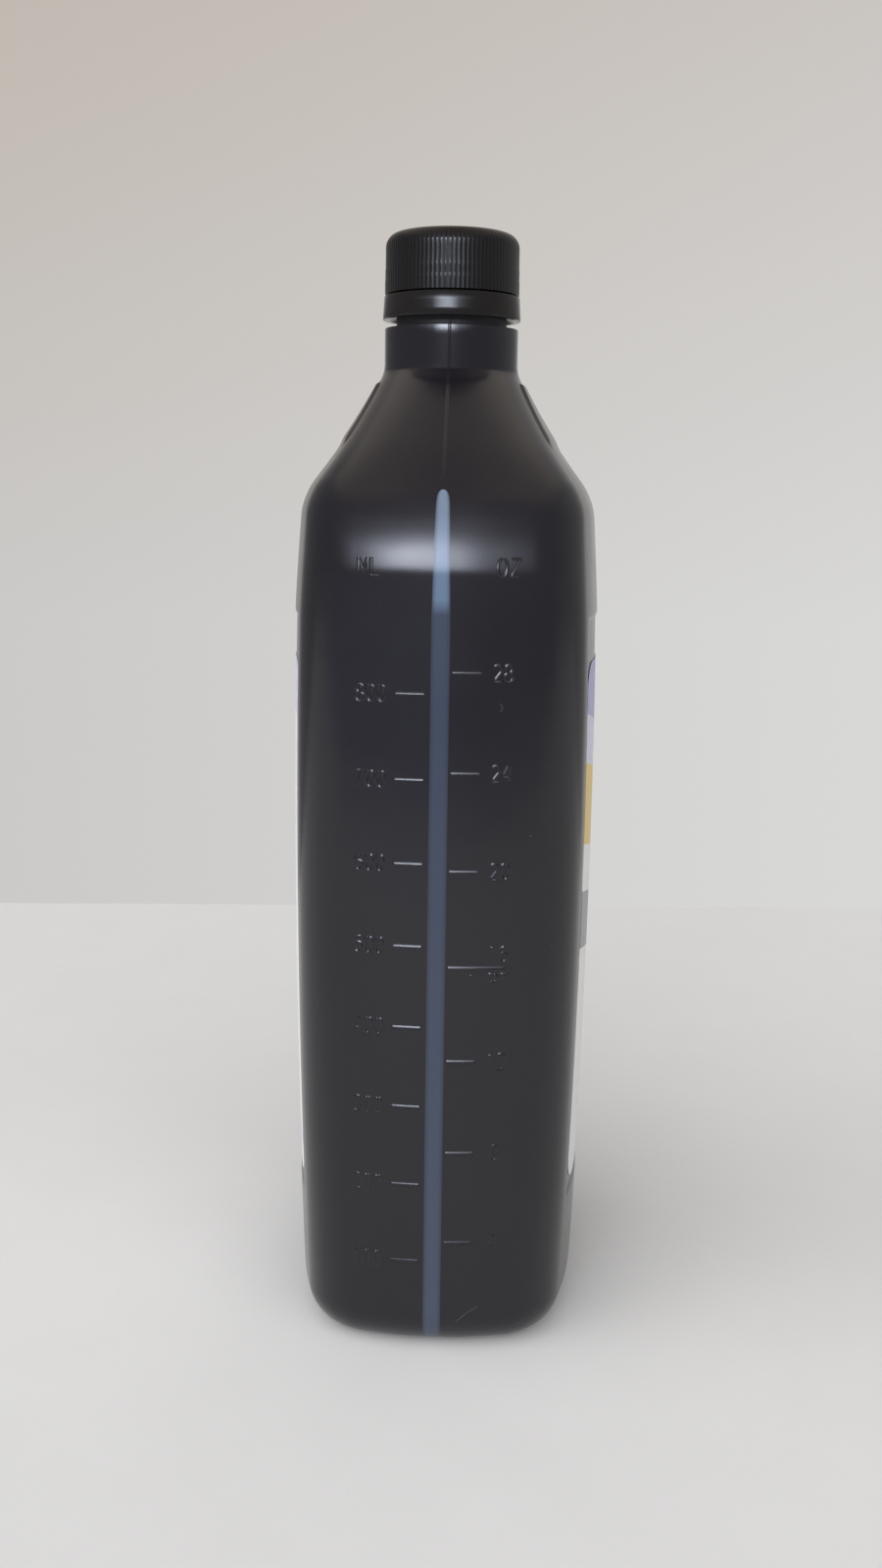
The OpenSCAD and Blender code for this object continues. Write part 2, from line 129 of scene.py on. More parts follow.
def column_normals(z, wide, narrow):
    """Normal angles of all columns of each row, from the narrow -Y side round: one quarter runs
    evenly between the strip's edge, the arcs' ends and the panel's border, and is mirrored."""
    knots = [np.zeros_like(z), np.arcsin(np.minimum(0.2, strip_half(z) / narrow)), np.full_like(z, LEAN),
             np.full_like(z, math.pi / 2 - LEAN), math.pi / 2 - panel_reach(wide, PANEL_EDGE),
             math.pi / 2 - panel_reach(wide, 0), np.full_like(z, math.pi / 2)]
    quarter = np.hstack([p + (q - p) * np.arange(m) / m for p, q, m in zip(knots, knots[1:], SPREAD)])
    back = np.hstack([np.full_like(z, math.pi / 2), quarter[:, :0:-1]])
    turn = math.pi / 2
    return np.hstack([quarter - turn, turn - back, quarter + turn, 3 * turn - back])


def shell_skin(rows, sunk):
    """Grid of the blown form. A row holds height, base inset, blend from oval to round, scale about
    the axis and tilt of the wall. The half width goes over into the neck's radius by the blend. The half
    length is the body's or, if that is less, the reach of a slope that leaves the neck as a parabola and
    steepens downwards, with a rounded bend between the two. The point is the oval's, pushed in or out along
    its normal by the panel and the pad, and sunk by the wall's thickness for the inner skin."""
    z, inset, blend, share, tilt = (rows[:, k:k + 1] for k in range(5))
    blend = blend + SLOPE_SAG * 4 * blend * (1 - blend)
    half_x, half_y = body_half(z)
    below = np.maximum(0, NECK_Z - z)
    slope = NECK_R + SIDE_SLOPE * below - SIDE_ROUND * np.minimum(below, SIDE_RUN) ** 2
    on_body = np.clip((slope - half_y) / SIDE_SOFT / 2 + 0.5, 0, 1)
    a = half_x + (NECK_R - half_x) * blend - inset
    b = slope + (half_y - slope) * on_body - SIDE_SOFT * on_body * (1 - on_body) - inset
    r = CORNER_R + (NECK_R - CORNER_R) * blend - inset
    wide, narrow = face_radii(a, b, r)
    n = column_normals(z, wide, narrow)
    x, y = oval_point(n, a, b, r)
    off_wide = np.arccos(np.minimum(1, np.abs(np.cos(n))))
    inside = ramp(-panel_reach(wide, PANEL_EDGE), -panel_reach(wide, 0), -off_wide)
    panel = ramp(0, PANEL_EDGE, np.minimum(z - PANEL_LOW, PANEL_HIGH - z))
    pad = ramp(0, PAD_RUNOUT, z - PAD_LOW) * ramp(0, PAD_STEP, PAD_HIGH - z)
    thick = sunk * (WALL + (NECK_WALL - WALL) * blend)
    push = inside * (PAD_RISE * pad - PANEL_DEPTH * panel) - thick * np.cos(tilt)
    return np.dstack([(x + push * np.cos(n)) * share, (y + push * np.sin(n)) * share,
                      np.broadcast_to(z - thick * np.sin(tilt), x.shape)])


def rows_of(z, inset=0.0, blend=0.0, share=1.0, tilt=0.0):
    """Rows of the blown form, with the values that don't change spread over all heights."""
    return np.column_stack(np.broadcast_arrays(np.asarray(z, float), inset, blend, share, tilt))


def bend(p, q, r, t):
    """Quadratic curve from p to r that leaves and arrives along the lines to q."""
    t = t[:, None]
    return (1 - t) ** 2 * np.array(p) + 2 * t * (1 - t) * np.array(q) + t ** 2 * np.array(r)


ring_d = BASE_D / 2 - BASE_R
push_u = np.linspace(0, 1, 9)
round_t = np.linspace(0, math.pi / 2, 15)
edge_t = np.linspace(0, math.pi / 2, 5)
slope_len = math.hypot(body_half(SHOULDER_Z)[0] - NECK_R, NECK_Z - SHOULDER_Z)
slope_low, slope_high = np.array([0, SHOULDER_Z]), np.array([1, NECK_Z])
slope_in = slope_low + (slope_high - slope_low) * SHOULDER_BLEND / slope_len
slope_out = slope_high - (slope_high - slope_low) * NECK_BLEND / slope_len
shoulder_t = np.linspace(0, 1, 38)
shoulder = bend([0, SHOULDER_Z - SHOULDER_BLEND], slope_low, slope_in, shoulder_t)
# One row lies at the neck's foot itself, where the slope of the narrow sides meets the neck in a corner.
at_foot = 1 / (1 + math.sqrt(NECK_BLEND / (NECK_Z - slope_out[1])))
neck_t = np.concatenate([np.linspace(0, at_foot, 6), np.linspace(at_foot, 1, 6)[1:]])
neck_foot = bend(slope_out, slope_high, [1, NECK_Z + NECK_BLEND], neck_t)
slope_z = np.concatenate([
    np.linspace(slope_in[1], PAD_LOW, 4)[1:-1], np.linspace(PAD_LOW, PAD_HIGH - PAD_STEP, 14),
    np.linspace(PAD_HIGH - PAD_STEP, PAD_HIGH, 6)[1:], [(PAD_HIGH + slope_out[1]) / 2]])
wall_z = np.concatenate([
    np.linspace(BASE_R, PANEL_LOW, 8)[1:], PANEL_LOW + np.linspace(0, PANEL_EDGE, 7)[1:],
    np.linspace(PANEL_LOW + PANEL_EDGE, PANEL_HIGH - PANEL_EDGE, 45)[1:],
    PANEL_HIGH - PANEL_EDGE + np.linspace(0, PANEL_EDGE, 7)[1:],
    np.linspace(PANEL_HIGH, CREASE_Z - CREASE_NEAR, 5)[1:],
    CREASE_Z + np.linspace(-CREASE_NEAR, CREASE_NEAR, 11)[1:],
    np.linspace(CREASE_Z + CREASE_NEAR, SHOULDER_Z - SHOULDER_BLEND, 5)[1:-1]])
push_rows = rows_of(PUSH_UP * (1 - ramp(0, 1, push_u)), BASE_R, 0,
                    (ring_d - RING_W - PUSH_SLOPE * (1 - push_u)) / ring_d, -math.pi / 2)
base_rows = rows_of(BASE_R * (1 - np.cos(round_t)), BASE_R * (1 - np.sin(round_t)), 0, 1,
                    round_t - math.pi / 2)
shell_rows = np.vstack([
    push_rows, base_rows, rows_of(wall_z),
    rows_of(shoulder[:, 1], 0, shoulder[:, 0], 1, SHOULDER_TILT * shoulder_t),
    rows_of(slope_z, 0, (slope_z - SHOULDER_Z) / (NECK_Z - SHOULDER_Z), 1, SHOULDER_TILT),
    rows_of(neck_foot[:, 1], 0, neck_foot[:, 0], 1, SHOULDER_TILT * (1 - neck_t)),
    rows_of([LEDGE_Z - NECK_WALL - 0.6], 0, 1)])
ledge_rows = rows_of(LEDGE_Z - LEDGE_EDGE * (1 - np.sin(edge_t)), LEDGE_EDGE * (1 - np.cos(edge_t)), 1)
outer = np.vstack([shell_rows, ledge_rows])
strip_first = len(push_rows)
strip_last = int(np.argmin(np.abs(shell_rows[:, 0] - STRIP_TIP_Z)))

# The finish above the ledge is turned: a plain root for the thread, a bead that keeps the band
# on the neck, a rounded lip, and the bore that runs down into the shell.
FINISH_R, BORE_R, LIP_Z, LIP_EDGE = 12.45, 10.85, 244.45, 0.4
BEAD_R, BEAD_Z, BEAD_H = 13.75, 230.6, 2.2
finish = np.array([
    [FINISH_R + 0.3, LEDGE_Z], [FINISH_R, LEDGE_Z + 0.3], [FINISH_R, BEAD_Z - LIP_EDGE],
    [BEAD_R - 0.15, BEAD_Z - 0.05], [BEAD_R, BEAD_Z + 0.15], [BEAD_R, BEAD_Z + BEAD_H / 2],
    [BEAD_R - 0.12, BEAD_Z + BEAD_H / 2 + 0.2], [FINISH_R, BEAD_Z + BEAD_H], [FINISH_R, 238.5],
    [FINISH_R, LIP_Z - LIP_EDGE], [FINISH_R - 0.12, LIP_Z - 0.12], [FINISH_R - LIP_EDGE, LIP_Z],
    [BORE_R + LIP_EDGE, LIP_Z], [BORE_R + 0.12, LIP_Z - 0.12], [BORE_R, LIP_Z - LIP_EDGE], [BORE_R, 235.0],
    [BORE_R, LEDGE_Z - NECK_WALL + 0.3], [BORE_R + 0.3, LEDGE_Z - NECK_WALL],
    [NECK_R - NECK_WALL - 0.4, LEDGE_Z - NECK_WALL]])
neck_round = column_normals(np.full((1, 1), LEDGE_Z), np.full((1, 1), NECK_R), np.full((1, 1), NECK_R))
finish_skin = np.dstack([finish[:, :1] * np.cos(neck_round), finish[:, :1] * np.sin(neck_round),
                         np.broadcast_to(finish[:, 1:], (len(finish), COLUMNS))])
skins = np.vstack([shell_skin(outer, 0), finish_skin, shell_skin(shell_rows, 1)[::-1]])
shell_points = np.vstack([skins.reshape(-1, 3), [[0, 0, PUSH_UP], [0, 0, PUSH_UP + WALL]]])
last_row = len(skins) - 1


def grid_faces(rows, columns, width):
    """Quads between each row and the next and each column and the next, the columns closing up."""
    i, c = np.meshgrid(rows, columns, indexing="ij")
    i, c, d = i.ravel(), c.ravel() % width, (c.ravel() + 1) % width
    return np.column_stack([i * width + c, i * width + d, (i + 1) * width + d, (i + 1) * width + c])


def wall_faces(rows, columns):
    """Quads through the wall's thickness along grid lines of the shell, from the outer to the inner
    skin."""
    (i, j), (c, d) = rows, columns
    c, d = c % COLUMNS, d % COLUMNS
    return np.column_stack([i * COLUMNS + c, j * COLUMNS + d,
                            (last_row - j) * COLUMNS + d, (last_row - i) * COLUMNS + c])


def lay_mesh(name, points, faces, sharp=40, surface_map=None):
    """Puts points in millimetres and arrays of three- or four-cornered faces into a mesh object at the
    origin, without unused points, shaded smooth apart from edges sharper than the given angle."""
    used, corners = np.unique(np.concatenate([f.ravel() for f in faces]), return_inverse=True)
    sizes = np.concatenate([np.full(len(f), f.shape[1]) for f in faces])
    mesh = bpy.data.meshes.new(name)
    mesh.vertices.add(len(used))
    mesh.vertices.foreach_set("co", (points[used] * MM).ravel())
    mesh.loops.add(len(corners))
    mesh.loops.foreach_set("vertex_index", corners.ravel().astype(np.int32))
    mesh.polygons.add(len(sizes))
    mesh.polygons.foreach_set("loop_start", (np.cumsum(sizes) - sizes).astype(np.int32))
    mesh.polygons.foreach_set("use_smooth", np.ones(len(sizes), bool))
    if surface_map is not None:
        layer = mesh.uv_layers.new(name="surface")
        layer.data.foreach_set("uv", surface_map[used][corners.ravel()].ravel())
    mesh.update(calc_edges=True)
    mesh.validate()
    mesh.set_sharp_from_angle(angle=math.radians(sharp))
    piece = bpy.data.objects.new(name, mesh)
    bpy.context.scene.collection.objects.link(piece)
    return piece


side = SPREAD[0]
strip_columns = np.arange(-side, side)
strip_rows = np.arange(strip_first, strip_last)
skin_rows = np.arange(last_row)
strip_cells = np.isin(skin_rows, strip_rows) | np.isin(last_row - 1 - skin_rows, strip_rows)
column = np.arange(COLUMNS)
pole_under, pole_inside = last_row * COLUMNS + COLUMNS, last_row * COLUMNS + COLUMNS + 1
under = np.column_stack([np.full(COLUMNS, pole_under), (column + 1) % COLUMNS, column])
within = np.column_stack([last_row * COLUMNS + column, last_row * COLUMNS + (column + 1) % COLUMNS,
                          np.full(COLUMNS, pole_inside)])
slot_walls = [
    wall_faces((strip_rows, strip_rows + 1), (np.full_like(strip_rows, side),) * 2),
    wall_faces((strip_rows, strip_rows + 1), (np.full_like(strip_rows, -side),) * 2)[:, ::-1],
    wall_faces((np.full_like(strip_columns, strip_last),) * 2,
               (strip_columns, strip_columns + 1))[:, ::-1],
    wall_faces((np.full_like(strip_columns, strip_first),) * 2, (strip_columns, strip_columns + 1))]
shell = lay_mesh("bottle_shell", shell_points, [
    grid_faces(skin_rows[~strip_cells], column, COLUMNS),
    grid_faces(skin_rows[strip_cells], np.arange(side, COLUMNS - side), COLUMNS)]
    + slot_walls + [under, within])


def add_node(tree, kind, inputs=None, **settings):
    """Adds a shader node, sets its properties, and fills its inputs with values or links."""
    node = tree.nodes.new(kind)
    for key, value in settings.items():
        setattr(node, key, value)
    for key, value in (inputs or {}).items():
        if isinstance(value, bpy.types.NodeSocket):
            tree.links.new(value, node.inputs[key])
        else:
            node.inputs[key].default_value = value
    return node


def spread(tree, value, low, high, start=0.0, end=1.0):
    """Value that goes from start to end, and no further, as the given one goes from low to high."""
    return add_node(tree, "ShaderNodeMapRange", {
        "Value": value, "From Min": low, "From Max": high,
        "To Min": start, "To Max": end}).outputs["Result"]


def mixed(tree, factor, first, second):
    """Colour that goes from the first to the second as the factor goes from 0 to 1."""
    first, second = (c if isinstance(c, bpy.types.NodeSocket) else (*c, 1) for c in (first, second))
    return add_node(tree, "ShaderNodeMix", {"Factor": factor, 6: first, 7: second},
                    data_type="RGBA").outputs[2]


def worked(tree, operation, *values):
    """Result of a maths node on the given values."""
    return add_node(tree, "ShaderNodeMath", dict(enumerate(values)), operation=operation).outputs[0]


def parts_of(tree, vector):
    """Outputs X, Y and Z of a vector."""
    return add_node(tree, "ShaderNodeSeparateXYZ", {"Vector": vector}).outputs


def surface_place(tree):
    """Outputs X and Y of the mesh's own map of its surface."""
    return parts_of(tree, add_node(tree, "ShaderNodeUVMap", uv_map="surface").outputs["UV"])


def moulded_plastic(name, dark, light, roughness, grain, grain_rise, wave, wave_rise):
    """Opaque moulded plastic on Object coordinates: a slow drift between two tones, a fine grain and a
    slow waviness as bump, in metres, and a roughness that wanders a little. Returns the material, its
    tree, its shader, the coordinates and the tone."""
    material = bpy.data.materials.new(name)
    material.use_nodes = True
    tree = material.node_tree
    shader = tree.nodes["Principled BSDF"]
    place = add_node(tree, "ShaderNodeTexCoord").outputs["Object"]
    drift = add_node(tree, "ShaderNodeTexNoise", {"Vector": place, "Scale": 38.0, "Detail": 3.0})
    fine = add_node(tree, "ShaderNodeTexNoise", {"Vector": place, "Scale": 1 / grain, "Detail": 2.0})
    slow = add_node(tree, "ShaderNodeTexNoise", {"Vector": place, "Scale": 1 / wave, "Detail": 1.0})
    tone = mixed(tree, drift.outputs["Fac"], dark, light)
    gloss = spread(tree, drift.outputs["Fac"], 0.3, 0.7, roughness * 0.9, roughness * 1.12)
    swell = add_node(tree, "ShaderNodeBump", {
        "Height": slow.outputs["Fac"], "Strength": 1.0, "Distance": wave_rise})
    peel = add_node(tree, "ShaderNodeBump", {
        "Height": fine.outputs["Fac"], "Strength": 1.0, "Distance": grain_rise,
        "Normal": swell.outputs["Normal"]})
    tree.links.new(tone, shader.inputs["Base Color"])
    tree.links.new(gloss, shader.inputs["Roughness"])
    tree.links.new(peel.outputs["Normal"], shader.inputs["Normal"])
    shader.inputs["IOR"].default_value = 1.5
    return material, tree, shader, place, tone


bottle_plastic, tree, shader, place, _ = moulded_plastic(
    "charcoal_polyethylene", (0.0048, 0.0044, 0.0070), (0.0068, 0.0063, 0.0092), roughness=0.2,
    grain=0.0005, grain_rise=0.000003, wave=0.014, wave_rise=0.00008)
# The mould's parting line runs over the shoulder, the neck, the back and the base, but not along the strip.
# The neck is a little glossier than the body, and the trimmed finish above the ledge is dull.
PARTING_FLAT, PARTING_HALF, PARTING_RISE = 0.05, 0.35, 0.1
NECK_GLOSS, TRIMMED_ROUGHNESS = 0.75, 0.55
axes = parts_of(tree, place)
parting = spread(tree, worked(tree, "ABSOLUTE", axes["X"]), PARTING_FLAT * MM, PARTING_HALF * MM, 1.0, 0.0)
behind, over_strip = spread(tree, axes["Y"], -0.030, -0.026), spread(tree, axes["Z"], 0.192, 0.196)
parting = worked(tree, "MULTIPLY", parting, worked(tree, "MAXIMUM", behind, over_strip))
rib = add_node(tree, "ShaderNodeBump", {
    "Height": parting, "Strength": 1.0, "Distance": PARTING_RISE * MM,
    "Normal": shader.inputs["Normal"].links[0].from_socket})
trimmed = spread(tree, axes["Z"], (LEDGE_Z - 0.15) * MM, (LEDGE_Z + 0.1) * MM)
gloss = worked(tree, "MULTIPLY", shader.inputs["Roughness"].links[0].from_socket,
               spread(tree, axes["Z"], 0.212, 0.218, 1.0, NECK_GLOSS))
dull = add_node(tree, "ShaderNodeMix", {"Factor": trimmed, 2: gloss, 3: TRIMMED_ROUGHNESS}, data_type="FLOAT")
tree.links.new(rib.outputs["Normal"], shader.inputs["Normal"])
tree.links.new(dull.outputs[0], shader.inputs["Roughness"])
shell.data.materials.append(bottle_plastic)
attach(shell, "bottle")
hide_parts("bottle")

# Level strip
# A stripe of natural, cloudy polyethylene that runs beside the dark one through the same blown wall,
# so that the level shows through it; it looks paler where there is only air behind it. Towards its foot
# and its tip it is painted paler still: painted light from the table below and from above.
strip_map = np.column_stack([shell_points[:, 0] / strip_half(shell_points[:, 2]),
                             shell_points[:, 2] / STRIP_TIP_Z])
strip = lay_mesh("level_strip", shell_points, [
    grid_faces(skin_rows[strip_cells], strip_columns, COLUMNS)] + [f[:, ::-1] for f in slot_walls],
    surface_map=strip_map)
LEVEL_Z, LEVEL_SOFT = 167.0, 1.6
strip_plastic, tree, shader, place, tone = moulded_plastic(
    "natural_polyethylene", (0.022, 0.032, 0.058), (0.028, 0.039, 0.067), roughness=0.24,
    grain=0.0006, grain_rise=0.000004, wave=0.02, wave_rise=0.00008)
STRIP_FOOT_PAINTED_BOUNCE, STRIP_RIM = (0.038, 0.050, 0.082), (0.016, 0.018, 0.028)
OVER_LEVEL, NEAR_TIP_PAINTED_LIGHT = (0.080, 0.124, 0.196), (0.118, 0.158, 0.212)
axes = parts_of(tree, place)
air = spread(tree, axes["Z"], (LEVEL_Z - LEVEL_SOFT) * MM, (LEVEL_Z + LEVEL_SOFT) * MM)
rim = spread(tree, worked(tree, "ABSOLUTE", surface_place(tree)["X"]), 0.55, 1.0, 0.0, 0.72)
# Painted light: towards the base the strip is made paler, a painted bounce from the white table below.
foot = mixed(tree, spread(tree, axes["Z"], 0.0, 0.11), STRIP_FOOT_PAINTED_BOUNCE, tone)
# Painted light: towards its tip the strip is made paler, where it leans back towards the light above.
high = mixed(tree, spread(tree, axes["Z"], 0.176, 0.190), OVER_LEVEL, NEAR_TIP_PAINTED_LIGHT)
thin = mixed(tree, rim, mixed(tree, air, foot, high), STRIP_RIM)
tree.links.new(thin, shader.inputs["Base Color"])
strip.data.materials.append(strip_plastic)
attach(strip, "bottle")
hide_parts("sight_strip")

# Raised scale
# The mould's engraving leaves low rounded lines standing on the narrow side: millilitres left of the
# strip, ounces right of it, with plain figures.
TICK_T, TICK_RISE, TICK_LEN, HALF_TICK_LEN = 0.95, 0.18, 6.6, 12.6
ML_GAP, OZ_GAP = 1.0, 0.4
ML_Z, ML_STEP, OZ_Z, OZ_STEP = 22.0, 18.16, 26.6, 21.18
FIGURE_H, FIGURE_W, FIGURE_PITCH, FIGURE_T, FIGURE_RISE = 3.5, 1.65, 2.3, 0.78, 0.15
ML_FIGURES_X, OZ_FIGURES_X, HALF_WORD_X, HALF_WORD_SHIFT = -14.6, 13.2, 11.2, 3.1
ML_WORD_X, OZ_WORD_X, WORDS_Z, WORDS_W, WORDS_PITCH = -14.9, 13.9, 175.3, 1.95, 2.75


def arc(x, y, rx, ry, start, end):
    """Points of an ellipse's arc between two angles in degrees."""
    t = np.radians(np.linspace(start, end, max(4, int(abs(end - start) / 18))))
    return np.column_stack([x + rx * np.cos(t), y + ry * np.sin(t)])


def chain(*points):
    """Straight strokes through the given points."""
    return np.array(points, float)


FIGURES = {
    "0": [arc(0.5, 0.5, 0.5, 0.5, 90, 450)],
    "1": [chain((0.2, 0.8), (0.55, 1), (0.55, 0))],
    "2": [np.vstack([arc(0.5, 0.71, 0.46, 0.29, 165, -35), chain((0.02, 0), (1, 0))])],
    "3": [arc(0.45, 0.75, 0.42, 0.25, 150, -85), arc(0.45, 0.26, 0.5, 0.26, 85, -150)],
    "4": [chain((0.74, 0), (0.74, 1), (0, 0.3), (1, 0.3))],
    "5": [np.vstack([chain((0.92, 1), (0.16, 1), (0.1, 0.52)),
                     arc(0.46, 0.32, 0.5, 0.32, 110, -145)])],
    "6": [arc(0.5, 0.3, 0.48, 0.3, 180, -180), arc(0.82, 0.3, 0.8, 0.7, 180, 95)],
    "7": [chain((0, 1), (1, 1), (0.35, 0))],
    "8": [arc(0.5, 0.75, 0.4, 0.25, -90, 270), arc(0.5, 0.25, 0.5, 0.25, 90, 450)],
    "M": [chain((0, 0), (0, 1), (0.5, 0.3), (1, 1), (1, 0))],
    "L": [chain((0, 1), (0, 0), (0.9, 0))],
    "O": [arc(0.5, 0.5, 0.5, 0.5, 90, 450)],
    "Z": [chain((0, 1), (1, 1), (0, 0), (1, 0))],
    "P": [chain((0, 0), (0, 1), (0.5, 1)), arc(0.5, 0.75, 0.46, 0.25, 90, -90),
          chain((0.5, 0.5), (0, 0.5))],
    "T": [chain((0, 1), (1, 1)), chain((0.5, 1), (0.5, 0))],
    " ": [],
}


def on_narrow_side(x, z):
    """Place and outward normal on the graduated narrow side at offset x and height z: on the narrow
    arc, or past its end on the corner arc, both drawn in where the base rounds off."""
    a, b = body_half(z)
    inset = BASE_R - np.sqrt(BASE_R ** 2 - np.clip(BASE_R - z, 0, BASE_R) ** 2)
    a, b, r = a - inset, b - inset, CORNER_R - inset
    wide, narrow = face_radii(a, b, r)
    reach = np.minimum(np.abs(x), narrow * math.sin(LEAN))
    corner = a - wide + (wide - r) * math.cos(LEAN)
    past = np.abs(x) > reach
    lean = np.where(past, np.arcsin(np.clip((np.abs(x) - corner) / r, 0, 1)), np.arcsin(reach / narrow))
    y = np.where(past, (wide - r) * math.sin(LEAN) + r * np.cos(lean),
                 b - narrow + narrow * np.cos(lean))
    normal = np.stack([np.sign(x) * np.sin(lean), -np.cos(lean), np.zeros_like(x)], -1)
    return np.stack([x, -y, z], -1), normal


LOW_FLANK, HIGH_FLANK = np.linspace(1, 0, 4)[:-1], np.linspace(0, 1, 8)
LINE_STEP, END_STEPS, LINE_SINK = 0.3, np.array([0.06, 0.3, 0.7]), 0.02
CREST_DROP, FLANK_STRAIGHT, FLANK_ROUND = 0.45, 0.58, 0.42


def raised_line(path, width, rise):
    """Low line on the narrow side: a ridge carried along a path of (offset, height) points, drawn in
    along a quarter circle at both ends. Its crest lies below the middle wherever the line is level, so
    that the upper flank is long and gentle; both flanks steepen along a parabola."""
    step = np.hypot(*np.diff(path, axis=0).T)
    run = np.concatenate([[0], np.cumsum(step)])
    even = np.linspace(0, run[-1], max(4, int(run[-1] / LINE_STEP)))
    ends = END_STEPS * width / 2
    knots = np.unique(np.concatenate([even, run, ends, run[-1] - ends]))
    x, z = np.interp(knots, run, path[:, 0]), np.interp(knots, run, path[:, 1])
    along = np.gradient(np.stack([x, z], -1), knots, axis=0)
    along /= np.maximum(1e-6, np.hypot(*along.T))[:, None]
    left = np.minimum(1, np.minimum(knots, run[-1] - knots) / (width / 2))
    grow = np.sqrt(np.maximum(0.0004, 1 - (1 - left) ** 2))[:, None]
    crest = -CREST_DROP * along[:, :1]
    reach = np.hstack([-(1 + crest) * LOW_FLANK, (1 - crest) * HIGH_FLANK])
    run_out = np.concatenate([LOW_FLANK, HIGH_FLANK])
    across = grow * (crest + reach) * width / 2
    flank = 1 - FLANK_STRAIGHT * run_out - FLANK_ROUND * run_out ** 2
    up = grow * flank * (rise + LINE_SINK) - LINE_SINK
    foot, out = on_narrow_side(x[:, None] - across * along[:, 1:], z[:, None] + across * along[:, :1])
    return foot + out * up[..., None]


def join_strips(strips):
    """Stacks open grids of points into one array of points and one of quads."""
    points, faces, start = [], [], 0
    for grid in strips:
        rows, width = grid.shape[:2]
        i, c = np.meshgrid(np.arange(rows - 1), np.arange(width - 1), indexing="ij")
        k = start + (i * width + c).ravel()
        faces.append(np.column_stack([k, k + width, k + width + 1, k + 1]))
        points.append(grid.reshape(-1, 3))
        start += rows * width
    return np.vstack(points), np.vstack(faces)


def figure_lines(text, x, z, width=FIGURE_W, pitch=FIGURE_PITCH):
    """Raised lines of a row of figures centred on offset x and height z."""
    first = x - (pitch * (len(text) - 1) + width) / 2
    return [raised_line(stroke * (width, FIGURE_H) + (first + pitch * k, z - FIGURE_H / 2),
                        FIGURE_T, FIGURE_RISE)
            for k, sign in enumerate(text) for stroke in FIGURES[sign]]


lines = []
for i in range(8):
    z = ML_Z + ML_STEP * i
    end = -STRIP_W / 2 - ML_GAP
    lines.append(raised_line(chain((end - TICK_LEN, z), (end, z)), TICK_T, TICK_RISE))
    lines += figure_lines(str(100 * (i + 1)), ML_FIGURES_X, z)
for i in range(7):
    z = OZ_Z + OZ_STEP * i
    half_way = i == 3
    start = STRIP_W / 2 + OZ_GAP
    length = HALF_TICK_LEN if half_way else TICK_LEN
    lines.append(raised_line(chain((start, z), (start + length, z)), TICK_T, TICK_RISE))
    lines += figure_lines(str(4 * (i + 1)), OZ_FIGURES_X, z + (HALF_WORD_SHIFT if half_way else 0))
lines += figure_lines("1 PT", HALF_WORD_X, OZ_Z + 3 * OZ_STEP - HALF_WORD_SHIFT)
for text, x in (("ML", ML_WORD_X), ("OZ", OZ_WORD_X)):
    lines += figure_lines(text, x, WORDS_Z, WORDS_W, WORDS_PITCH)
points, faces = join_strips(lines)
scale_marks = lay_mesh("scale_marks", points, [faces])
scale_marks.data.materials.append(bottle_plastic)
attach(scale_marks, "bottle")

# Scuffs
# Wear on the same side, as thin pale burrs: two scratches over the rounding of the base and a few
# specks further up.
SCUFF_T, SCUFF_RISE = 0.26, 0.03
scuffs = [
    chain((5.5, 7.5), (8.2, 9.9), (10.3, 11.2)), chain((18.1, 5.4), (21.6, 6.7), (25.0, 8.6)),
    chain((12.6, 147.3), (13.1, 146.4), (12.7, 145.4)),
    chain((-26.5, 98.9), (-26.4, 99.5)), chain((19.3, 118.9), (19.9, 119.1)),
    chain((24.5, 94.0), (24.7, 94.6))]
points, faces = join_strips([raised_line(path, SCUFF_T, SCUFF_RISE) for path in scuffs])
scuff_marks = lay_mesh("scuff_marks", points, [faces])
scuff_plastic, *_ = moulded_plastic(
    "scuffed_polyethylene", (0.012, 0.012, 0.013), (0.045, 0.043, 0.046), roughness=0.55,
    grain=0.0004, grain_rise=0.000004, wave=0.002, wave_rise=0.00001)
scuff_marks.data.materials.append(scuff_plastic)
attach(scuff_marks, "bottle")

# Labels
# A film label lies in the sunk panel of each wide face, rounded at its corners and printed in plain
# fields of colour that slant a little.
LABEL_HALF, LABEL_Z, LABEL_H, LABEL_R = 26.7, 33.5, 120.5, 6.0
LABEL_T, LABEL_GAP, PRINT_SLANT = 0.12, 0.06, 0.045


def label_grid(facing, lift):
    """Grid of one label face: rows up the height, each as wide as the rounded outline leaves it,
    on the wide face's arc, raised by lift over the bottom of the panel."""
    t = np.linspace(0, math.pi / 2, 9)
    straight = np.linspace(LABEL_R, LABEL_H - LABEL_R, 50)[1:-1]
    up = np.concatenate([LABEL_R * (1 - np.cos(t)), straight,
                         LABEL_H - LABEL_R * (1 - np.cos(t[::-1]))])[:, None]
    inset = np.concatenate([LABEL_R * (1 - np.sin(t)), 0 * straight,
                            LABEL_R * (1 - np.sin(t[::-1]))])[:, None]
    a, b = body_half(LABEL_Z + up)
    wide, _ = face_radii(a, b, CORNER_R)
    n = np.arcsin((LABEL_HALF - inset) / wide) * np.linspace(-1, 1, 33)
    x, y = oval_point(n, a, b, CORNER_R)
    push = lift - PANEL_DEPTH
    grid = np.dstack([x + push * np.cos(n), y + push * np.sin(n),
                      np.broadcast_to(LABEL_Z + up, x.shape)])
    return grid * (facing, facing, 1)


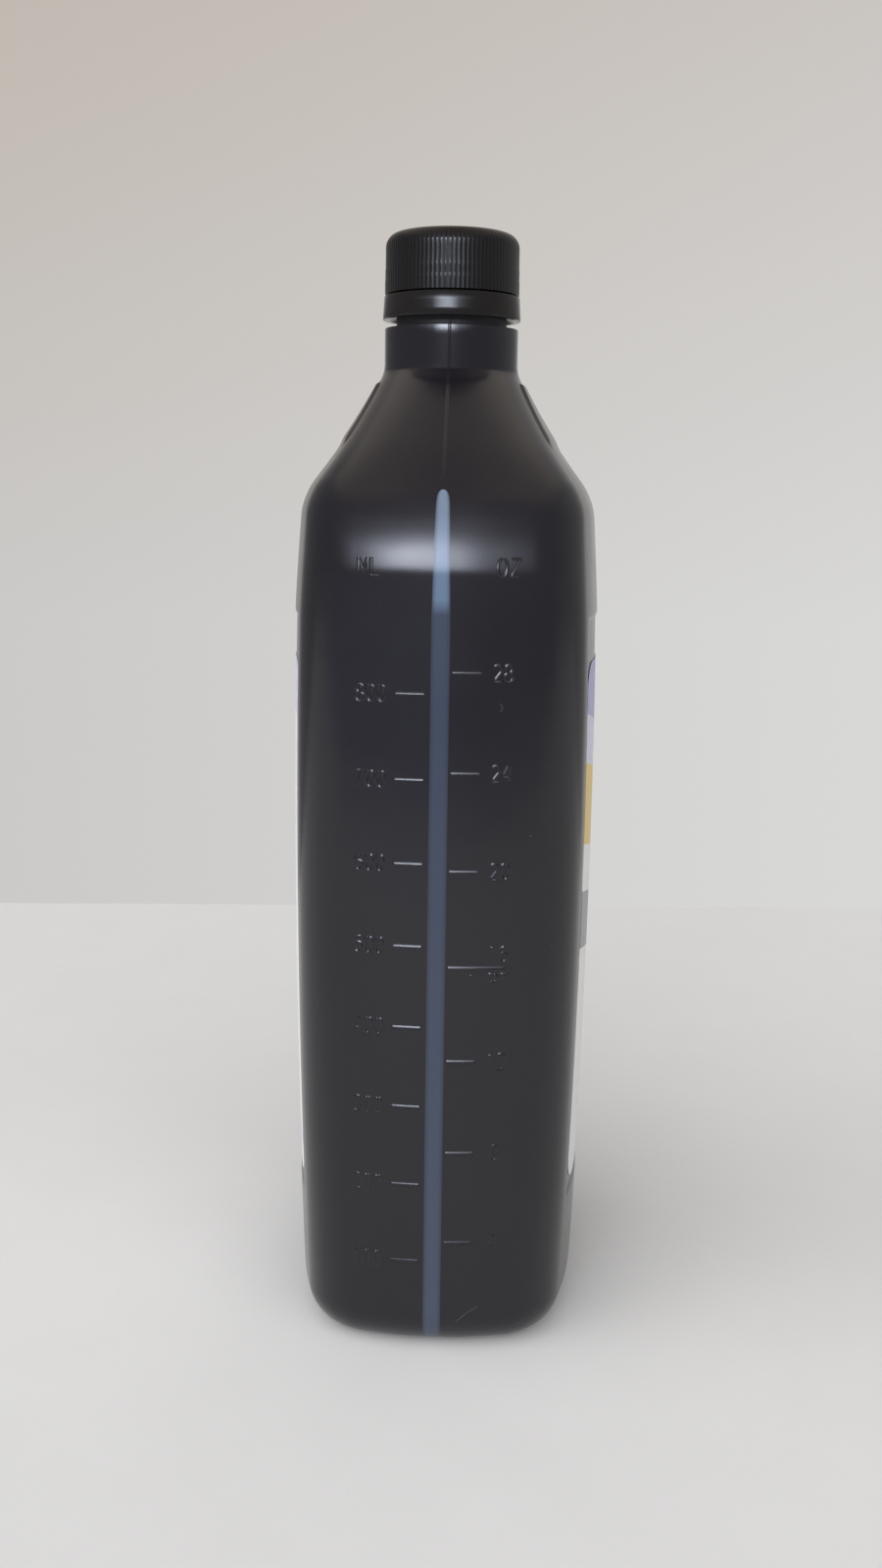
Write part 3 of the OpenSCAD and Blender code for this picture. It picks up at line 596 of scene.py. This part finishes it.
def printed_film(name, stops):
    """Satin film with fields of colour one above the other, slightly slanted; its gloss wanders and it
    lies in faint ripples, as bump."""
    material, tree, shader, _, tone = moulded_plastic(
        name, (0.92, 0.92, 0.92), (1.0, 1.0, 1.0), roughness=0.36,
        grain=0.0012, grain_rise=0.000004, wave=0.012, wave_rise=0.00006)
    spot = surface_place(tree)
    slant = worked(tree, "MULTIPLY_ADD", spot["X"], PRINT_SLANT, spot["Y"])
    fields = add_node(tree, "ShaderNodeValToRGB", {"Fac": slant})
    fields.color_ramp.interpolation = "CONSTANT"
    for k, (at, colour) in enumerate(stops):
        stop = fields.color_ramp.elements[k] if k < 2 else fields.color_ramp.elements.new(at)
        stop.position = at
        stop.color = (*colour, 1)
    ink = add_node(tree, "ShaderNodeMix", {"Factor": 1.0, 6: fields.outputs["Color"], 7: tone},
                   data_type="RGBA", blend_type="MULTIPLY")
    tree.links.new(ink.outputs[2], shader.inputs["Base Color"])
    return material


WHITE, GREY, YELLOW = (0.80, 0.80, 0.79), (0.28, 0.28, 0.29), (0.74, 0.53, 0.12)
LILAC, DEEP_LILAC = (0.64, 0.62, 0.76), (0.37, 0.37, 0.60)
for name, facing, stops in (
        ("right_label", 1, [(0.0, WHITE), (0.42, GREY), (0.53, WHITE), (0.62, YELLOW), (0.77, LILAC),
                            (0.86, DEEP_LILAC)]),
        ("left_label", -1, [(0.0, WHITE), (0.10, LILAC), (0.125, WHITE), (0.93, LILAC)])):
    under_face, print_face = label_grid(facing, LABEL_GAP), label_grid(facing, LABEL_GAP + LABEL_T)
    rows, width = print_face.shape[:2]
    points = np.vstack([print_face.reshape(-1, 3), under_face.reshape(-1, 3)])
    i, c = np.meshgrid(np.arange(rows - 1), np.arange(width - 1), indexing="ij")
    k = (i * width + c).ravel()
    top = np.column_stack([k, k + 1, k + width + 1, k + width])
    index = np.arange(rows * width).reshape(rows, width)
    rim = np.concatenate([index[0, :-1], index[:-1, -1], index[-1, :0:-1], index[:0:-1, 0]])
    below = rim + rows * width
    sides = np.column_stack([below, np.roll(below, -1), np.roll(rim, -1), rim])
    print_map = np.column_stack([points[:, 1] * facing / LABEL_HALF, (points[:, 2] - LABEL_Z) / LABEL_H])
    label = lay_mesh(name + "_film", points, [top, top[:, ::-1] + rows * width, sides],
                     surface_map=print_map)
    label.data.materials.append(printed_film(name + "_print", stops))
    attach(label, "bottle")
    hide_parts(name)

# Neck thread
# One right-hand ridge of about a turn and a half, blown and trimmed with the finish, six threads to
# the inch.
PITCH, RIDGE_HALF, RIDGE_SUNK = 25.4 / 6, 1.05, 0.1
THREAD_Z, THREAD_TURNS, THREAD_CREST = 235.6, 1.5, 13.6


def thread_ridge(foot_r, crest_r, first, turns, start):
    """Ridge on a right-hand helix: a rounded profile from the foot radius to the crest radius,
    carried up by one pitch a turn and run out over a twelfth of a turn at both ends."""
    t = np.linspace(0, turns, int(turns * 72) + 1)
    grow = ramp(0, 1 / 12, np.minimum(t, turns - t))[:, None]
    profile = np.linspace(-1, 1, 11)
    tall = ramp(0, 0.62, 1 - np.abs(profile))
    r = foot_r + (crest_r - foot_r) * (tall * grow)
    angle = (2 * math.pi * t + start)[:, None]
    z = first + PITCH * t[:, None] + RIDGE_HALF * profile
    return np.dstack([r * np.cos(angle), r * np.sin(angle), z])


ridge = thread_ridge(FINISH_R - RIDGE_SUNK, THREAD_CREST, THREAD_Z, THREAD_TURNS, 0.0)
points, faces = join_strips([ridge])
neck_thread = lay_mesh("neck_thread", points, [faces[:, ::-1]])
neck_thread.data.materials.append(bottle_plastic)
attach(neck_thread, "bottle")

# Tamper band
# A glossy polypropylene ring that flares downwards; it snaps over the neck's bead with an inner catch
# and stays there when its thin bridges to the cap break.
BAND_Z, BAND_TOP, BAND_R, BAND_DRAFT, BAND_EDGE, BAND_CUT = 228.3, 233.5, 15.6, 0.3, 0.25, 0.07
BAND_BORE, CATCH_R, CATCH_Z, CATCH_H = 14.15, 12.85, 229.8, 0.8


def turned(profile, steps):
    """Ring turned about the axis from a closed profile of (radius, height) points."""
    t = np.linspace(0, 2 * math.pi, steps, endpoint=False)
    r, z = profile[:, :1], profile[:, 1:]
    grid = np.dstack([r * np.cos(t), r * np.sin(t), z + 0 * t])
    points = np.vstack([grid, grid[:1]])
    return points.reshape(-1, 3), grid_faces(np.arange(len(profile)), np.arange(steps), steps)


band_profile = np.array([
    [BAND_BORE, BAND_Z], [BAND_R - BAND_EDGE, BAND_Z], [BAND_R - BAND_CUT, BAND_Z + BAND_CUT],
    [BAND_R, BAND_Z + BAND_EDGE],
    [BAND_R - BAND_DRAFT * 0.3, BAND_Z + 1.6], [BAND_R - BAND_DRAFT * 0.65, BAND_Z + 3.2],
    [BAND_R - BAND_DRAFT, BAND_TOP - BAND_EDGE], [BAND_R - BAND_DRAFT - BAND_CUT, BAND_TOP - BAND_CUT],
    [BAND_R - BAND_DRAFT - BAND_EDGE, BAND_TOP], [BAND_BORE, BAND_TOP], [BAND_BORE, CATCH_Z + BAND_EDGE],
    [CATCH_R, CATCH_Z], [CATCH_R, CATCH_Z - CATCH_H + BAND_EDGE]])
points, faces = turned(band_profile, 180)
band = lay_mesh("tamper_band_ring", points, [faces])
band_plastic, *_ = moulded_plastic(
    "band_polypropylene", (0.0066, 0.0058, 0.0054), (0.0090, 0.0081, 0.0076), roughness=0.16,
    grain=0.0008, grain_rise=0.000002, wave=0.006, wave_rise=0.00008)
band_plastic.node_tree.nodes["Principled BSDF"].inputs["Specular IOR Level"].default_value = 0.3
band.data.materials.append(band_plastic)
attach(band, "bottle")
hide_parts("tamper_band")

# Cap liner
# A disc of white foamed sheet, pressed into the cap behind a small bead; it seals on the lip.
liner_foam, *_ = moulded_plastic(
    "foamed_liner", (0.62, 0.62, 0.58), (0.72, 0.72, 0.69), roughness=0.6,
    grain=0.0004, grain_rise=0.00002, wave=0.004, wave_rise=0.00003)
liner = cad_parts["cap_liner"]
liner.data.materials.clear()
liner.data.materials.append(liner_foam)

# Screw cap
# Moulded black polypropylene: fine upright ribs for grip that run out in the rounded top edge, a skirt
# that steps out slightly twice towards its rim, and the thread and the liner's bead inside.
CAP_Z, CAP_TOP, CAP_R, CAP_ROUND, CAP_DRAFT = 233.8, 247.2, 15.15, 3.2, 0.12
RIBS, RIB_DEPTH, RIB_COLUMNS, GROOVE_ROUGHNESS = 92, 0.065, 8, 0.5
SKIRT_R, ROOF_Z, KEEPER_R, KEEPER_Z, KEEPER_H = 14.0, 245.65, 13.25, 244.45, 0.9
STEP_LOW, STEP_HIGH, STEP_IN, STEP_SOFT = 236.8, 239.3, 0.05, 0.2
CAP_CREST, CAP_TURNS, CAP_START = 12.98, 1.25, 1 / 3


def cap_skin():
    """Grid of the whole cap: an outer profile turned about the axis and cut back between the ribs by
    shallow rounded grooves that run out in the top edge, then the flat top, and the turned inside from the
    roof down to the rim; with a map of how deep in a groove and how high up each point is."""
    t = np.linspace(0, math.pi / 2, 15)
    z = np.concatenate([[CAP_Z, CAP_Z + 0.12], np.linspace(CAP_Z + 0.4, STEP_LOW - 0.25, 4),
                        STEP_LOW + np.linspace(-0.15, 0.15, 4),
                        np.linspace(STEP_LOW + 0.25, STEP_HIGH - 0.25, 4),
                        STEP_HIGH + np.linspace(-0.15, 0.15, 4),
                        np.linspace(STEP_HIGH + 0.25, CAP_TOP - CAP_ROUND, 5)[:-1],
                        CAP_TOP - CAP_ROUND * (1 - np.sin(t))])
    step_in = STEP_IN * sum(ramp(step - STEP_SOFT, step + STEP_SOFT, z) for step in (STEP_LOW, STEP_HIGH))
    rest_in = (CAP_DRAFT - 2 * STEP_IN) * np.clip((z - STEP_HIGH) / 3, 0, 1)
    r = CAP_R - step_in - rest_in - np.where(z < CAP_Z + 0.1, 0.12, 0)
    r[-15:] -= CAP_ROUND * (1 - np.cos(t))
    phase = ((np.arange(RIBS * RIB_COLUMNS) + 0.5) / RIB_COLUMNS) % 1
    valley = ramp(0, 0.5, np.minimum(phase, 1 - phase))
    angle = 2 * math.pi * np.arange(RIBS * RIB_COLUMNS) / (RIBS * RIB_COLUMNS)
    deep = RIB_DEPTH * (1 - ramp(CAP_TOP - 2.2, CAP_TOP - 0.9, z))
    ribbed = r[:, None] - deep[:, None] * valley
    outside = np.dstack([ribbed * np.cos(angle), ribbed * np.sin(angle), z[:, None] + 0 * angle])
    profile = np.array([
        [9.0, CAP_TOP], [2.0, CAP_TOP], [1.4, CAP_TOP - 0.12], [0.01, CAP_TOP - 0.15],
        [0.01, ROOF_Z], [9.0, ROOF_Z], [SKIRT_R, ROOF_Z], [SKIRT_R, KEEPER_Z],
        [KEEPER_R, KEEPER_Z - 0.02], [KEEPER_R, KEEPER_Z - KEEPER_H / 2],
        [SKIRT_R, KEEPER_Z - KEEPER_H], [SKIRT_R, CAP_Z + 0.2], [SKIRT_R + 0.2, CAP_Z]])
    turned_part = np.dstack([profile[:, :1] * np.cos(angle), profile[:, :1] * np.sin(angle),
                             profile[:, 1:] + 0 * angle])
    skin = np.vstack([outside, turned_part, outside[:1]])
    return skin, np.dstack([valley + 0 * skin[..., 0], (skin[..., 2] - CAP_Z) / (CAP_TOP - CAP_Z)])


skin, groove_map = cap_skin()
cap = lay_mesh("ribbed_cap", skin.reshape(-1, 3), [
    grid_faces(np.arange(len(skin) - 1), np.arange(skin.shape[1]), skin.shape[1])], sharp=24,
    surface_map=groove_map.reshape(-1, 2))
cap_plastic, tree, shader, *_ = moulded_plastic(
    "cap_polypropylene", (0.0018, 0.0017, 0.0021), (0.0030, 0.0028, 0.0034), roughness=0.13,
    grain=0.0006, grain_rise=0.000002, wave=0.008, wave_rise=0.00003)
shader.inputs["Specular IOR Level"].default_value = 0.37
groove = surface_place(tree)
in_groove = worked(tree, "MULTIPLY", groove["X"], spread(tree, groove["Y"], 0.93, 0.98, 1.0, 0.0))
worn = add_node(tree, "ShaderNodeMix", {
    "Factor": in_groove, 2: shader.inputs["Roughness"].links[0].from_socket, 3: GROOVE_ROUGHNESS},
    data_type="FLOAT")
tree.links.new(worn.outputs[0], shader.inputs["Roughness"])
cap.data.materials.append(cap_plastic)
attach(cap, "cap")
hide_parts("cap")

# The cap's ridge lies half a pitch under the neck's.
ridge = thread_ridge(SKIRT_R + RIDGE_SUNK, CAP_CREST, THREAD_Z + PITCH * (CAP_START - 1 / 2), CAP_TURNS,
                     2 * math.pi * CAP_START)
points, faces = join_strips([ridge])
cap_thread = lay_mesh("cap_thread", points, [faces])
cap_thread.data.materials.append(cap_plastic)
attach(cap_thread, "cap")

# Table, backdrop and light
# A white table top that ends at a pale wall, in a room that is dimmer behind the camera; soft daylight
# comes from there, a little to the left, brightest in the middle.
TABLE_SIDE, TABLE_NEAR, TABLE_FAR_LEFT, TABLE_FAR_RIGHT = 2.5, -0.62, 0.19, 0.513
table_mesh = bpy.data.meshes.new("table")
table_mesh.from_pydata([(-TABLE_SIDE, TABLE_NEAR, 0), (TABLE_SIDE, TABLE_NEAR, 0),
                        (TABLE_SIDE, TABLE_FAR_RIGHT, 0), (-TABLE_SIDE, TABLE_FAR_LEFT, 0)],
                       [], [(0, 1, 2, 3)])
table = bpy.data.objects.new("table", table_mesh)
bpy.context.scene.collection.objects.link(table)
table_top, _, shader, *_ = moulded_plastic(
    "white_table", (0.77, 0.76, 0.74), (0.80, 0.79, 0.77), roughness=0.7,
    grain=0.002, grain_rise=0.000004, wave=0.05, wave_rise=0.000004)
shader.inputs["Specular IOR Level"].default_value = 0.25
table.data.materials.append(table_top)

world = bpy.data.worlds.new("pale_room")
bpy.context.scene.world = world
world.use_nodes = True
tree = world.node_tree
HAZE_X, HAZE_W, HAZE_Z, HAZE_H, HAZE = -0.1, 0.85, 0.287, 0.12, (5.2, 5.5, 6.7)
DAY_FROM, DAY_SIDE, DIM_SIDE = (0.42, 0.91, 0.0), (2.06, 2.06, 2.09), (0.32, 0.315, 0.31)
rays = add_node(tree, "ShaderNodeLightPath").outputs
direction = add_node(tree, "ShaderNodeTexCoord").outputs["Generated"]
look = parts_of(tree, direction)
to_right = spread(tree, look["X"], -0.3, 0.3)
wall_low = mixed(tree, to_right, (0.60, 0.59, 0.58), (0.70, 0.70, 0.69))
wall_high = mixed(tree, to_right, (0.53, 0.48, 0.43), (0.60, 0.57, 0.55))
wall = mixed(tree, spread(tree, look["Z"], -0.08, 0.28), wall_low, wall_high)
off_middle = worked(tree, "ABSOLUTE", look["X"])
overhead = mixed(tree, spread(tree, off_middle, 0.08, 0.38), (0.46, 0.41, 0.37), (0.68, 0.60, 0.53))
front = mixed(tree, spread(tree, look["X"], -0.1, 0.25), (0.37, 0.37, 0.49), (0.30, 0.285, 0.305))
front = mixed(tree, spread(tree, look["Z"], -0.06, 0.04), front, (0.34, 0.32, 0.33))
past_left, past_right = (spread(tree, look["X"], 0.28 * k, 0.6 * k) for k in (-1, 1))
sides = mixed(tree, past_right, mixed(tree, past_left, wall, (0.26, 0.25, 0.25)), (0.42, 0.41, 0.40))
room = mixed(tree, spread(tree, look["Y"], -0.45, 0.25), front, sides)
room = mixed(tree, spread(tree, look["Z"], 0.57, 0.69), room, overhead)
off = add_node(tree, "ShaderNodeCombineXYZ", {
    "X": worked(tree, "MULTIPLY_ADD", look["X"], 1 / HAZE_W, -HAZE_X / HAZE_W),
    "Y": worked(tree, "MULTIPLY_ADD", look["Z"], 1 / HAZE_H, -HAZE_Z / HAZE_H)})
off = add_node(tree, "ShaderNodeVectorMath", {0: off.outputs[0]}, operation="LENGTH")
haze = add_node(tree, "ShaderNodeMapRange", {
    "Value": off.outputs["Value"], "From Min": 1.0, "From Max": 0.0}, interpolation_type="SMOOTHSTEP")
haze = worked(tree, "MULTIPLY", haze.outputs["Result"], spread(tree, look["Y"], 0.0, -0.1))
room = mixed(tree, haze, room, HAZE)
sideways = add_node(tree, "ShaderNodeVectorMath", {0: direction, 1: DAY_FROM}, operation="DOT_PRODUCT")
glow = mixed(tree, spread(tree, sideways.outputs["Value"], -0.7, 0.05), DAY_SIDE, DIM_SIDE)
bounce = worked(tree, "MAXIMUM", rays["Is Glossy Ray"], rays["Is Transmission Ray"])
shown = mixed(tree, rays["Is Camera Ray"], mixed(tree, bounce, glow, room), wall)
tree.links.new(shown, tree.nodes["Background"].inputs["Color"])


AIM_Z = 0.12


def soft_lamp(name, azimuth, elevation, distance, size, radiance, colour, fade):
    """Rectangular lamp that faces the bottle from a direction seen from it, in degrees, with the
    power that gives its middle the wanted radiance; it fades out over the given share of its half
    width and half height."""
    lamp = bpy.data.lights.new(name, "AREA")
    lamp.shape = "RECTANGLE"
    lamp.size, lamp.size_y = size
    lamp.energy = radiance * math.pi * size[0] * size[1]
    lamp.color = colour
    lamp.use_nodes = True
    tree = lamp.node_tree
    spot = parts_of(tree, add_node(tree, "ShaderNodeNewGeometry").outputs["Parametric"])
    light = 1.0
    for axis, share in zip("XY", fade):
        off = worked(tree, "ABSOLUTE", worked(tree, "SUBTRACT", spot[axis], 0.5))
        near = add_node(tree, "ShaderNodeMapRange", {
            "Value": off, "From Min": 0.5, "From Max": 0.5 - 0.5 * share}, interpolation_type="SMOOTHSTEP")
        light = worked(tree, "MULTIPLY", light, near.outputs["Result"])
    tree.links.new(light, tree.nodes["Emission"].inputs["Strength"])
    a, e = math.radians(azimuth), math.radians(elevation)
    back = Matrix.Rotation(a, 3, "Z") @ Matrix.Rotation(math.pi / 2 - e, 3, "X")
    place = back.to_4x4()
    place.translation = (back.col[2] * distance).to_3d()
    place.translation.z += AIM_Z
    holder = bpy.data.objects.new(name, lamp)
    holder.matrix_world = place
    bpy.context.scene.collection.objects.link(holder)


soft_lamp("window", azimuth=-8.7, elevation=17.2, distance=3.4, size=(2.8, 0.58), radiance=17.5,
          colour=(0.82, 0.87, 1.0), fade=(0.85, 0.7))

# Camera
# Hand-held at the height of the shoulder, level with the narrow side and tilted down a little.
CAMERA_AT = (0.0111, -0.3763, 0.1907)
FOCAL, FRAME_TALL = 1639.0, 1600.0
PITCH_DOWN, ROLL, YAW = math.radians(10.36), math.radians(0.83), math.radians(-1.83)
ahead = np.array([math.sin(YAW) * math.cos(PITCH_DOWN), math.cos(YAW) * math.cos(PITCH_DOWN),
                  -math.sin(PITCH_DOWN)])
right = np.array([math.cos(YAW), -math.sin(YAW), 0])
up = np.cross(right, ahead)
right, up = (math.cos(ROLL) * right + math.sin(ROLL) * up,
             math.cos(ROLL) * up - math.sin(ROLL) * right)
camera_data = bpy.data.cameras.new("camera")
camera_data.sensor_width = 36.0
camera_data.lens = camera_data.sensor_width * FOCAL / FRAME_TALL
camera = bpy.data.objects.new("camera", camera_data)
turn = Matrix(np.column_stack([right, up, -ahead]).tolist()).to_4x4()
turn.translation = CAMERA_AT
camera.matrix_world = turn
bpy.context.scene.collection.objects.link(camera)
bpy.context.scene.camera = camera
bpy.context.scene.view_settings.view_transform = "Standard"
